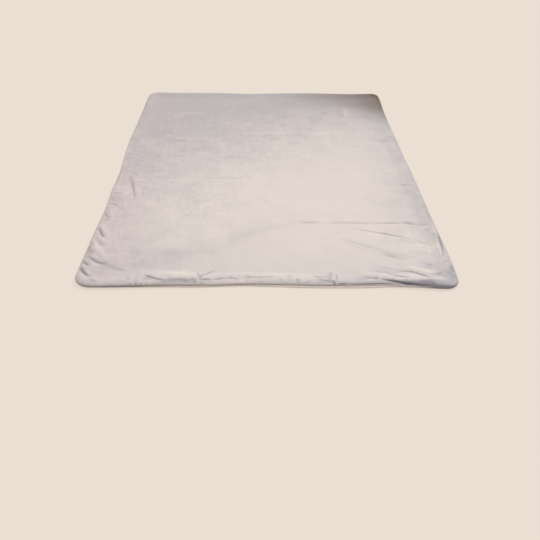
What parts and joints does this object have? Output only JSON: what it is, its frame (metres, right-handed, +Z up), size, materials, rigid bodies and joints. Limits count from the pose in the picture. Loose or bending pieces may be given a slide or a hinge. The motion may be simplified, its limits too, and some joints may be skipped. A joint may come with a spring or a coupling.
{
  "type": "earthing blanket",
  "caption": "Flat rectangular plush blanket of two sewn panels with rounded corners and a rolled edge, laid out on the ground to lie or sleep on.",
  "frame": {"origin": "on the ground, below the middle of the blanket's box", "axes": "+Y along the long sides, away from the hand-closed short side; +X across; +Z up"},
  "size_m": [1.5112, 2.0116, 0.02],
  "materials": {
    "face_plush": "short brushed pile, matt with a soft sheen",
    "back_plush": "short brushed pile, matt with a soft sheen"
  },
  "bodies": {
    "root": {"face_panel": "face_plush", "back_panel": "back_plush"}
  },
  "joints": []
}
